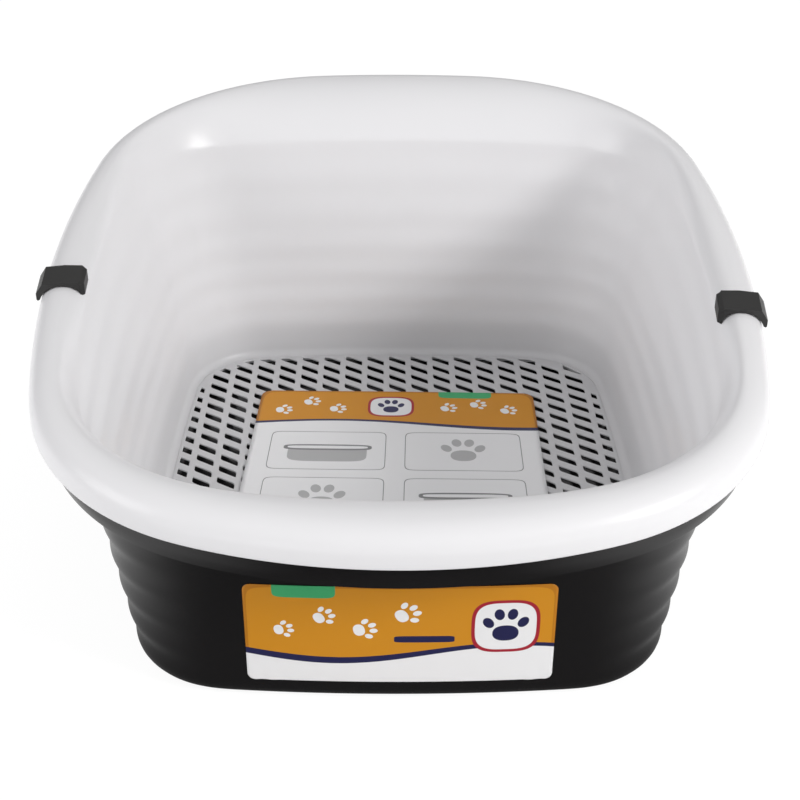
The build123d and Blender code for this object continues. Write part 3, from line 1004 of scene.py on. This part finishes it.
def ramp(tree, low, high, start=0.0, end=1.0):
    """Adds a node that is start up to low, end from high on, and a cubic between."""
    values = {"From Min": low, "From Max": high, "To Min": start, "To Max": end}
    return node(tree, "ShaderNodeMapRange", values, interpolation_type="SMOOTHSTEP")


def wire(tree, pairs):
    """Links outputs to inputs."""
    for source, target in pairs:
        tree.links.new(source, target)


def new_group(name, inputs, outputs):
    """Empty node group with named sockets: its tree, its input node and its output node."""
    tree = bpy.data.node_groups.new(name, "ShaderNodeTree")
    for socket, kind, default in inputs:
        made = tree.interface.new_socket(socket, in_out="INPUT", socket_type=kind)
        made.default_value = default
    for socket, kind in outputs:
        tree.interface.new_socket(socket, in_out="OUTPUT", socket_type=kind)
    return tree, tree.nodes.new("NodeGroupInput"), tree.nodes.new("NodeGroupOutput")


def moulded_group():
    """Node group for moulded plastic: flow streaks, fine grain, and painted shade at the foot.

    Its colour is darkened towards the bottom, to the given share at the floor. This is painted
    shade of the tray's deep hollow, and stands in too for the black pan behind thin pale plastic.
    """
    name = "moulded plastic"
    if name in bpy.data.node_groups:
        return bpy.data.node_groups[name]
    number, colour = "NodeSocketFloat", "NodeSocketColor"
    tree, given, out = new_group(
        name,
        [
            ("Colour", colour, (0.5, 0.5, 0.5, 1)), ("Streak", colour, (0.4, 0.4, 0.4, 1)),
            ("Flow Scale", number, 9.0), ("Grain Scale", number, 900.0),
            ("Grain Height", number, 0.00001), ("Gloss Low", number, 0.2),
            ("Gloss High", number, 0.3), ("Foot Shade", number, 1.0),
        ],
        [("Colour", colour), ("Roughness", number), ("Normal", "NodeSocketVector")],
    )
    place = node(tree, "ShaderNodeTexCoord")
    flow = node(tree, "ShaderNodeTexNoise", {"Detail": 2})
    blend = node(tree, "ShaderNodeMix", data_type="RGBA")
    gloss = node(tree, "ShaderNodeMapRange")
    grain = node(tree, "ShaderNodeTexNoise", {"Detail": 2})
    relief = node(tree, "ShaderNodeBump", {"Strength": 1})
    split = node(tree, "ShaderNodeSeparateXYZ")
    # Painted shade: the colour darkens towards the floor, to the given share at the bottom
    foot = ramp(tree, *PAINTED_SHADE_HEIGHTS)
    shaded = node(tree, "ShaderNodeVectorMath", operation="SCALE")
    wire(
        tree,
        [
            (place.outputs["Object"], split.inputs[0]), (split.outputs["Z"], foot.inputs["Value"]),
            (given.outputs["Foot Shade"], foot.inputs["To Min"]),
            (blend.outputs["Result"], shaded.inputs[0]),
            (foot.outputs["Result"], shaded.inputs["Scale"]),
            (place.outputs["Object"], flow.inputs["Vector"]),
            (given.outputs["Flow Scale"], flow.inputs["Scale"]),
            (flow.outputs["Fac"], blend.inputs["Factor"]),
            (given.outputs["Colour"], blend.inputs["A"]),
            (given.outputs["Streak"], blend.inputs["B"]),
            (flow.outputs["Fac"], gloss.inputs["Value"]),
            (given.outputs["Gloss Low"], gloss.inputs["To Min"]),
            (given.outputs["Gloss High"], gloss.inputs["To Max"]),
            (place.outputs["Object"], grain.inputs["Vector"]),
            (given.outputs["Grain Scale"], grain.inputs["Scale"]),
            (grain.outputs["Fac"], relief.inputs["Height"]),
            (given.outputs["Grain Height"], relief.inputs["Distance"]),
            (shaded.outputs[0], out.inputs["Colour"]),
            (gloss.outputs["Result"], out.inputs["Roughness"]),
            (relief.outputs["Normal"], out.inputs["Normal"]),
        ],
    )
    return tree


def spot_group():
    """Node group for a printed spot: |x| and |y| in half sizes, raised to a power and added.

    A power of 2 gives an ellipse and a high one a rounded box. The mask is 1 inside.
    """
    name = "printed spot"
    if name in bpy.data.node_groups:
        return bpy.data.node_groups[name]
    number, vector = "NodeSocketFloat", "NodeSocketVector"
    tree, given, out = new_group(
        name,
        [
            ("Point", vector, (0, 0, 0)), ("Centre", vector, (0, 0, 0)),
            ("Half Size", vector, (1, 1, 1)), ("Turn", number, 0.0), ("Power", number, 2.0),
        ],
        [("Mask", number)],
    )
    shift = node(tree, "ShaderNodeVectorMath", operation="SUBTRACT")
    turned = node(tree, "ShaderNodeVectorRotate", rotation_type="Z_AXIS")
    scaled = node(tree, "ShaderNodeVectorMath", operation="DIVIDE")
    plain = node(tree, "ShaderNodeVectorMath", operation="ABSOLUTE")
    parts = node(tree, "ShaderNodeSeparateXYZ")
    power_x = node(tree, "ShaderNodeMath", operation="POWER")
    power_y = node(tree, "ShaderNodeMath", operation="POWER")
    total = node(tree, "ShaderNodeMath", operation="ADD")
    edge = ramp(tree, 1 - SPOT_BLUR_SHARE, 1 + SPOT_BLUR_SHARE, 1.0, 0.0)
    wire(
        tree,
        [
            (given.outputs["Point"], shift.inputs[0]), (given.outputs["Centre"], shift.inputs[1]),
            (shift.outputs[0], turned.inputs["Vector"]),
            (given.outputs["Turn"], turned.inputs["Angle"]),
            (turned.outputs[0], scaled.inputs[0]), (given.outputs["Half Size"], scaled.inputs[1]),
            (scaled.outputs[0], plain.inputs[0]), (plain.outputs[0], parts.inputs[0]),
            (parts.outputs["X"], power_x.inputs[0]), (given.outputs["Power"], power_x.inputs[1]),
            (parts.outputs["Y"], power_y.inputs[0]), (given.outputs["Power"], power_y.inputs[1]),
            (power_x.outputs[0], total.inputs[0]), (power_y.outputs[0], total.inputs[1]),
            (total.outputs[0], edge.inputs["Value"]), (edge.outputs["Result"], out.inputs["Mask"]),
        ],
    )
    return tree


class Print:
    """Paints flat shapes over each other on a material's UV map, in millimetres of the sheet."""

    def __init__(self, tree, width, height, ground):
        self.tree = tree
        place = node(tree, "ShaderNodeUVMap", uv_map="print")
        centred = node(tree, "ShaderNodeVectorMath", {1: (0.5, 0.5, 0)}, operation="SUBTRACT")
        in_millimetres = {1: (width * 1000, height * 1000, 0)}
        scaled = node(tree, "ShaderNodeVectorMath", in_millimetres, operation="MULTIPLY")
        wire(tree, [(place.outputs[0], centred.inputs[0]), (centred.outputs[0], scaled.inputs[0])])
        self.point = scaled.outputs[0]
        split = node(tree, "ShaderNodeSeparateXYZ")
        wire(tree, [(self.point, split.inputs[0])])
        self.x, self.y = split.outputs["X"], split.outputs["Y"]
        self.ground = ground
        self.colour = None

    def spot(self, centre, half_size, power=2.0, turn=0.0):
        """Mask of an ellipse or rounded box."""
        values = {
            "Centre": (*centre, 0), "Half Size": (*half_size, 1), "Power": power,
            "Turn": math.radians(turn),
        }
        spot = node(self.tree, "ShaderNodeGroup", values, node_tree=spot_group())
        wire(self.tree, [(self.point, spot.inputs["Point"])])
        return spot.outputs["Mask"]

    def join(self, masks):
        """Mask that is 1 where any of the masks is."""
        joined = masks[0]
        for mask in masks[1:]:
            most = node(self.tree, "ShaderNodeMath", operation="MAXIMUM")
            wire(self.tree, [(joined, most.inputs[0]), (mask, most.inputs[1])])
            joined = most.outputs[0]
        return joined

    def below(self, level, swing, span, start):
        """Mask of what lies under a sine curve: its level, half height, length and start."""
        pace = {1: 2 * math.pi / span, 2: start}
        turn = node(self.tree, "ShaderNodeMath", pace, operation="MULTIPLY_ADD")
        sine = node(self.tree, "ShaderNodeMath", operation="SINE")
        line = node(self.tree, "ShaderNodeMath", {1: swing, 2: level}, operation="MULTIPLY_ADD")
        gap = node(self.tree, "ShaderNodeMath", operation="SUBTRACT")
        edge = ramp(self.tree, -SWING_BLUR, SWING_BLUR)
        wire(
            self.tree,
            [
                (self.x, turn.inputs[0]), (turn.outputs[0], sine.inputs[0]),
                (sine.outputs[0], line.inputs[0]), (line.outputs[0], gap.inputs[0]),
                (self.y, gap.inputs[1]), (gap.outputs[0], edge.inputs["Value"]),
            ],
        )
        return edge.outputs["Result"]

    def paint(self, colour, mask):
        """Lays a colour over what is painted so far, where the mask is 1."""
        layer = node(self.tree, "ShaderNodeMix", {"B": (*colour, 1)}, data_type="RGBA")
        wire(self.tree, [(mask, layer.inputs["Factor"])])
        if self.colour is None:
            layer.inputs["A"].default_value = (*self.ground, 1)
        else:
            wire(self.tree, [(self.colour, layer.inputs["A"])])
        self.colour = layer.outputs["Result"]

    def paw(self, centre, scale, turn, colour):
        """Paw print: one broad pad and four toes on an arc."""
        lean = math.radians(turn)

        def place(x, y):
            return (
                centre[0] + scale * (x * math.cos(lean) - y * math.sin(lean)),
                centre[1] + scale * (x * math.sin(lean) + y * math.cos(lean)),
            )

        pad = (PAD_HALF[0] * scale, PAD_HALF[1] * scale)
        toe = (TOE_HALF[0] * scale, TOE_HALF[1] * scale)
        masks = [self.spot(place(*PAD_PLACE), pad, PAD_POWER, -turn)]
        masks += [self.spot(place(x, y), toe, turn=-(turn + splay)) for x, y, splay in TOES]
        self.paint(colour, self.join(masks))


def paint_sheet(art, colours, shapes):
    """What both prints have: orange field, navy swing over white, tab, badge, trail of paws."""
    art.paint(colours.orange, art.spot(*shapes["field"]))
    art.paint(colours.navy, art.below(*shapes["navy_swing"]))
    art.paint(colours.paper, art.below(*shapes["white_swing"]))
    art.paint(colours.green, art.spot(*shapes["tab"]))
    centre, border, inside, paw_size = shapes["badge"]
    art.paint(colours.red, art.spot(centre, border, BADGE_POWER))
    art.paint(colours.paper, art.spot(centre, inside, BADGE_POWER))
    art.paw((centre[0], centre[1] - BADGE_PAW_DROP), paw_size, 0, colours.navy)
    first, growth = shapes["trail_size"]
    leans = shapes["trail_leans"]
    for step, place in enumerate(shapes["trail"]):
        art.paw(place, first + growth * step, leans[step % 2], colours.paper)


def paint_picture(art, colours, x, y, with_paw):
    """Framed grey picture: a paw, or a pan with its rim."""
    for colour, up, half_size, power in PICTURE_FRAME + (() if with_paw else PICTURE_PAN):
        art.paint(getattr(colours, colour), art.spot((x, y + up), half_size, power))
    if with_paw:
        art.paw((x, y), PICTURE_PAW, 0, colours.pencil_light)


def paint_label(tree, scene):
    """Front label: what both prints have, and a navy bar."""
    colours, prints = scene.litter_finish, scene.litter_print
    art = Print(tree, prints.label_width, prints.label_height, colours.orange_deep)
    paint_sheet(art, colours, LABEL)
    art.paint(colours.navy, art.spot(*LABEL_BAR))
    return art.colour


def paint_card(tree, scene):
    """Card: what both prints have, and two columns of pictures, a pan and a paw in turns."""
    colours, prints = scene.litter_finish, scene.litter_print
    art = Print(tree, prints.card_width, prints.card_length, colours.orange_deep)
    paint_sheet(art, colours, CARD)
    for row, y in enumerate(CARD_ROWS):
        for column, x in enumerate(CARD_COLUMNS):
            paint_picture(art, colours, x, y, (row + column) % 2)
    return art.colour


def print_finish(material, scene, slot):
    """Coated print: the painted sheet under a clear coat with a faint ripple."""
    tree = material.node_tree
    shader = tree.nodes["Principled BSDF"]
    colour = paint_label(tree, scene) if slot == "label_print" else paint_card(tree, scene)
    scale, low, high = COATS[slot]
    place = node(tree, "ShaderNodeTexCoord")
    ripple = node(tree, "ShaderNodeTexNoise", {"Scale": scale})
    gloss = node(tree, "ShaderNodeMapRange", {"To Min": low, "To Max": high})
    relief = node(tree, "ShaderNodeBump", {"Distance": COAT_HEIGHT, "Strength": COAT_STRENGTH})
    wire(
        tree,
        [
            (colour, shader.inputs["Base Color"]),
            (place.outputs["Object"], ripple.inputs["Vector"]),
            (ripple.outputs["Fac"], gloss.inputs["Value"]),
            (gloss.outputs["Result"], shader.inputs["Roughness"]),
            (ripple.outputs["Fac"], relief.inputs["Height"]),
            (relief.outputs["Normal"], shader.inputs["Normal"]),
        ],
    )


def plastic_finish(material, colour, streak, values):
    """Moulded plastic: the shared group with its own values, into the shader."""
    tree = material.node_tree
    shader = tree.nodes["Principled BSDF"]
    values = {"Colour": (*colour, 1), "Streak": (*streak, 1), **values}
    group = node(tree, "ShaderNodeGroup", values, node_tree=moulded_group())
    wire(
        tree,
        [
            (group.outputs["Colour"], shader.inputs["Base Color"]),
            (group.outputs["Roughness"], shader.inputs["Roughness"]),
            (group.outputs["Normal"], shader.inputs["Normal"]),
        ],
    )


def finish(scene, slot):
    """Material of a slot, made once."""
    name = f"{slot}_finish"
    if name in bpy.data.materials:
        return bpy.data.materials[name]
    material = bpy.data.materials.new(name)
    material.use_nodes = True
    colours = scene.litter_finish
    shader = material.node_tree.nodes["Principled BSDF"]
    if slot == "pearl_white":
        shader.inputs["IOR"].default_value = 1.49
        # Painted shade: the pearl white is darkened to 0.76 of its colour at the tray's floor
        plastic_finish(
            material, colours.white, colours.white_deep,
            {"Flow Scale": 7.0, "Gloss Low": 0.29, "Gloss High": 0.35, "Foot Shade": 0.76},
        )
    elif slot == "black_gloss":
        shader.inputs["IOR"].default_value = 1.49
        plastic_finish(
            material, colours.black, colours.black_light,
            {"Flow Scale": 6.0, "Gloss Low": 0.12, "Gloss High": 0.20},
        )
    elif slot == "black_satin":
        plastic_finish(
            material, colours.satin, colours.satin_light,
            {
                "Flow Scale": 120.0, "Grain Scale": 2200.0, "Grain Height": 0.00004,
                "Gloss Low": 0.42, "Gloss High": 0.52,
            },
        )
    else:
        print_finish(material, scene, slot)
    return material


def white_stage_material():
    """Pale floor: a glow to the camera, over a grey that lights and shadows fall on.

    In reflections it is a glow that is dim along the middle line and bright at the sides.
    """
    material = bpy.data.materials.new("stage_floor")
    material.use_nodes = True
    tree = material.node_tree
    tree.nodes.clear()
    path = node(tree, "ShaderNodeLightPath")
    seen = node(tree, "ShaderNodeMath", {1: FLOOR_GLOW_SHARE}, operation="MULTIPLY")
    clear = node(tree, "ShaderNodeMath", operation="MAXIMUM")
    paint = node(tree, "ShaderNodeBsdfDiffuse", {"Color": FLOOR_GREY})
    place = node(tree, "ShaderNodeTexCoord")
    split = node(tree, "ShaderNodeSeparateXYZ")
    way = node(tree, "ShaderNodeMath", operation="ABSOLUTE")
    shine = ramp(tree, *FLOOR_MIRROR)
    shown = node(tree, "ShaderNodeMix", {"A": FLOOR_GLOW}, data_type="FLOAT")
    glow = node(tree, "ShaderNodeEmission")
    mixed = node(tree, "ShaderNodeMixShader")
    out = node(tree, "ShaderNodeOutputMaterial")
    wire(
        tree,
        [
            (path.outputs["Is Camera Ray"], seen.inputs[0]),
            (seen.outputs[0], clear.inputs[0]), (path.outputs["Is Glossy Ray"], clear.inputs[1]),
            (clear.outputs[0], mixed.inputs["Fac"]),
            (place.outputs["Object"], split.inputs[0]), (split.outputs["X"], way.inputs[0]),
            (way.outputs[0], shine.inputs["Value"]), (shine.outputs["Result"], shown.inputs["B"]),
            (path.outputs["Is Glossy Ray"], shown.inputs["Factor"]),
            (shown.outputs["Result"], glow.inputs["Strength"]),
            (paint.outputs[0], mixed.inputs[1]), (glow.outputs[0], mixed.inputs[2]),
            (mixed.outputs[0], out.inputs["Surface"]),
        ],
    )
    return material


def sky_world(strength):
    """White sky: strongest at the horizon, at least 1 to the camera.

    In reflections it is dim at the horizon and brighter overhead.
    """
    sky = bpy.data.worlds.new("white_sky")
    sky.use_nodes = True
    tree = sky.node_tree
    background = tree.nodes["Background"]
    background.inputs["Color"].default_value = (1, 1, 1, 1)
    place = node(tree, "ShaderNodeTexCoord")
    split = node(tree, "ShaderNodeSeparateXYZ")
    overhead = ramp(tree, *SKY_MIRROR)
    dimming = ramp(tree, *SKY_HEIGHTS, strength, strength * ZENITH_SHARE)
    path = node(tree, "ShaderNodeLightPath")
    level = node(tree, "ShaderNodeMix", data_type="FLOAT")
    shown = node(tree, "ShaderNodeMath", operation="MAXIMUM")
    wire(
        tree,
        [
            (place.outputs["Generated"], split.inputs[0]),
            (split.outputs["Z"], overhead.inputs["Value"]),
            (split.outputs["Z"], dimming.inputs["Value"]),
            (dimming.outputs["Result"], level.inputs["A"]),
            (overhead.outputs["Result"], level.inputs["B"]),
            (path.outputs["Is Glossy Ray"], level.inputs["Factor"]),
            (level.outputs["Result"], shown.inputs[0]),
            (path.outputs["Is Camera Ray"], shown.inputs[1]),
            (shown.outputs[0], background.inputs["Strength"]),
        ],
    )
    return sky


def add_lamp(name, place, width, power, colour):
    """Square soft light that faces the object."""
    lamp = bpy.data.lights.new(name, "AREA")
    lamp.size = width
    lamp.energy = power
    lamp.color = colour
    holder = bpy.data.objects.new(name, lamp)
    holder.location = place
    way = Vector(LAMP_TARGET) - Vector(place)
    holder.rotation_euler = way.to_track_quat("-Z", "Y").to_euler()
    bpy.context.scene.collection.objects.link(holder)


def build_stage(scene):
    """Floor, lights, sky and camera."""
    stage = scene.litter_stage
    half = stage.floor / 2
    corners = np.array([(-half, -half, 0), (half, -half, 0), (half, half, 0), (-half, half, 0)])
    mesh = faces_mesh("stage_floor", corners, [np.array([[0, 1, 2, 3]])])
    mesh.materials.append(white_stage_material())
    floor = bpy.data.objects.new("stage_floor", mesh)
    scene.collection.objects.link(floor)
    for name, place, width, colour in LAMPS:
        add_lamp(f"{name}_light", place, width, getattr(stage, name), colour)
    scene.world = sky_world(stage.sky)
    scene.view_settings.view_transform = "Standard"
    place_camera(scene, stage)


def place_camera(scene, stage):
    """Camera from its place, its angle below the horizon, its turn and its roll."""
    right = Vector((math.cos(stage.turn), math.sin(stage.turn), 0))
    level = Vector((-math.sin(stage.turn), math.cos(stage.turn), 0))
    ahead = level * math.cos(stage.down) - Vector((0, 0, math.sin(stage.down)))
    up = level * math.sin(stage.down) + Vector((0, 0, math.cos(stage.down)))
    across = right * math.cos(stage.roll) + up * math.sin(stage.roll)
    upward = up * math.cos(stage.roll) - right * math.sin(stage.roll)
    lens = bpy.data.cameras.new("camera")
    lens.lens = stage.lens
    lens.sensor_width = SENSOR_WIDTH
    lens.clip_end = CAMERA_REACH
    camera = bpy.data.objects.new("camera", lens)
    turned = Matrix((across, upward, -ahead)).transposed().to_4x4()
    camera.matrix_world = Matrix.Translation(Vector(stage.place)) @ turned
    scene.collection.objects.link(camera)
    scene.camera = camera


class LITTERBOX_OT_pans(bpy.types.Operator):
    """Builds the two nested black pans"""

    bl_idname = "litterbox.pans"
    bl_label = "Pans"

    def execute(self, context):
        for level in (OUTER, INNER):
            build_shell(context.scene, level)
        return {"FINISHED"}


class LITTERBOX_OT_tray(bpy.types.Operator):
    """Builds the white sifting tray's walls and rim"""

    bl_idname = "litterbox.tray"
    bl_label = "Sifting tray"

    def execute(self, context):
        build_shell(context.scene, TRAY)
        return {"FINISHED"}


class LITTERBOX_OT_sifting_floor(bpy.types.Operator):
    """Builds the slotted floor of the tray"""

    bl_idname = "litterbox.sifting_floor"
    bl_label = "Sifting floor"

    def execute(self, context):
        build_sifting_floor(context.scene)
        return {"FINISHED"}


class LITTERBOX_OT_clips(bpy.types.Operator):
    """Builds the two clips over the rim"""

    bl_idname = "litterbox.clips"
    bl_label = "Rim clips"

    def execute(self, context):
        clips = context.scene.litter_clips
        build_clip(context.scene, "left_clip", -1, clips.left)
        build_clip(context.scene, "right_clip", 1, clips.right)
        return {"FINISHED"}


class LITTERBOX_OT_prints(bpy.types.Operator):
    """Builds the front label and the card on the floor"""

    bl_idname = "litterbox.prints"
    bl_label = "Label and card"

    def execute(self, context):
        build_label(context.scene)
        build_card(context.scene)
        return {"FINISHED"}


class LITTERBOX_OT_stage(bpy.types.Operator):
    """Builds the floor, the lights and the camera"""

    bl_idname = "litterbox.stage"
    bl_label = "Stage"

    def execute(self, context):
        build_stage(context.scene)
        return {"FINISHED"}


OPERATORS = (
    LITTERBOX_OT_pans, LITTERBOX_OT_tray, LITTERBOX_OT_sifting_floor, LITTERBOX_OT_clips,
    LITTERBOX_OT_prints, LITTERBOX_OT_stage,
)


class LITTERBOX_PT_panel(bpy.types.Panel):
    """Lists the builders and their sizes"""

    bl_idname = "LITTERBOX_PT_panel"
    bl_label = "Litter Box"
    bl_space_type = "VIEW_3D"
    bl_region_type = "UI"
    bl_category = "Litter Box"

    def draw(self, context):
        for operator in OPERATORS:
            self.layout.operator(operator.bl_idname)
        for name in GROUPS:
            box = self.layout.box()
            box.label(text=name.replace("litter_", "").capitalize())
            group = getattr(context.scene, name)
            for key in group.__annotations__:
                box.prop(group, key)


def register():
    """Registers the sizes, the builders and the panel."""
    for group in GROUPS.values():
        bpy.utils.register_class(group)
    for name, group in GROUPS.items():
        setattr(bpy.types.Scene, name, PointerProperty(type=group))
    for operator in OPERATORS:
        bpy.utils.register_class(operator)
    bpy.utils.register_class(LITTERBOX_PT_panel)


def unregister():
    """Takes away what register made, in the other order."""
    bpy.utils.unregister_class(LITTERBOX_PT_panel)
    for operator in reversed(OPERATORS):
        bpy.utils.unregister_class(operator)
    for name in GROUPS:
        delattr(bpy.types.Scene, name)
    for group in reversed(list(GROUPS.values())):
        bpy.utils.unregister_class(group)


def main():
    """Builds everything in order."""
    register()
    bpy.ops.litterbox.pans()
    bpy.ops.litterbox.tray()
    bpy.ops.litterbox.sifting_floor()
    bpy.ops.litterbox.clips()
    bpy.ops.litterbox.prints()
    bpy.ops.litterbox.stage()
    bpy.context.view_layer.update()


if __name__ == "__main__":
    main()
